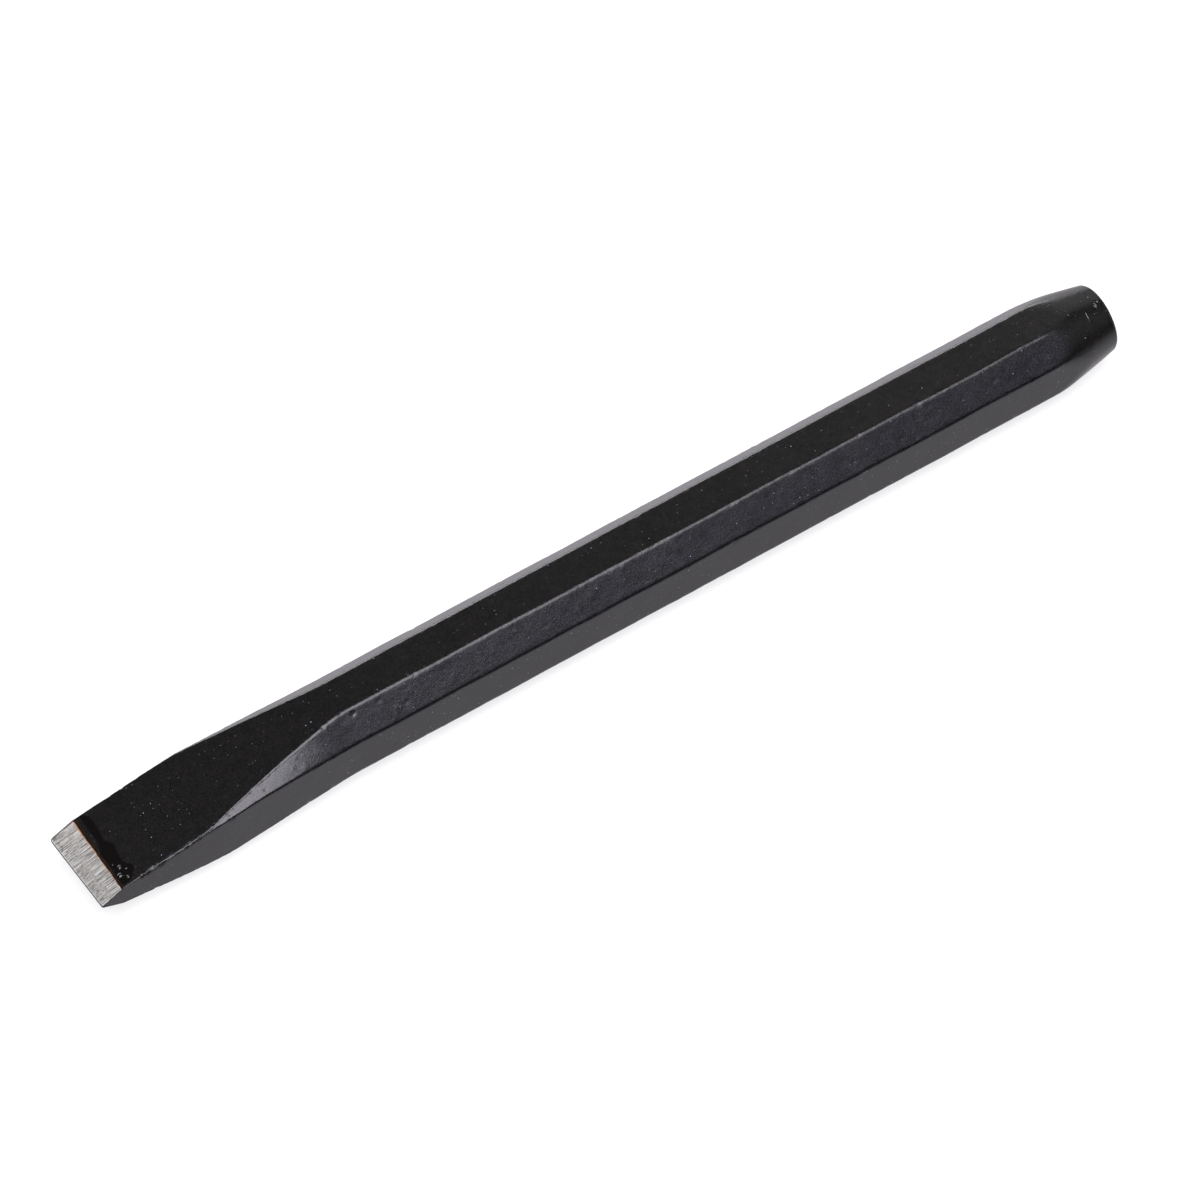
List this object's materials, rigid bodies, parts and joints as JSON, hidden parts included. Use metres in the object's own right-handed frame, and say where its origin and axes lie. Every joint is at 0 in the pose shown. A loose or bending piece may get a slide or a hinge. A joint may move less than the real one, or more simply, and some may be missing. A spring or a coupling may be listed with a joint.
{
  "type": "cold chisel",
  "caption": "Hand cold chisel: octagonal steel bar with a flared, tapering blade and two ground bevels at one end and a tapered round struck end at the other, under black lacquer.",
  "frame": {"origin": "centre of the flat struck face, on the axis of the bar", "axes": "+X out of the struck face along the bar, so the cutting edge is at -X; +Z square to the broad upper side of the blade; Y along the cutting edge"},
  "size_m": [0.21, 0.0177, 0.016],
  "materials": {
    "tool_steel": "bare ground steel, fine scratches along the tool",
    "black_lacquer": "satin black lacquer over forged steel, with slight orange peel"
  },
  "bodies": {
    "root": {"forged_body": "tool_steel", "lacquer_coat": "black_lacquer"}
  },
  "joints": []
}
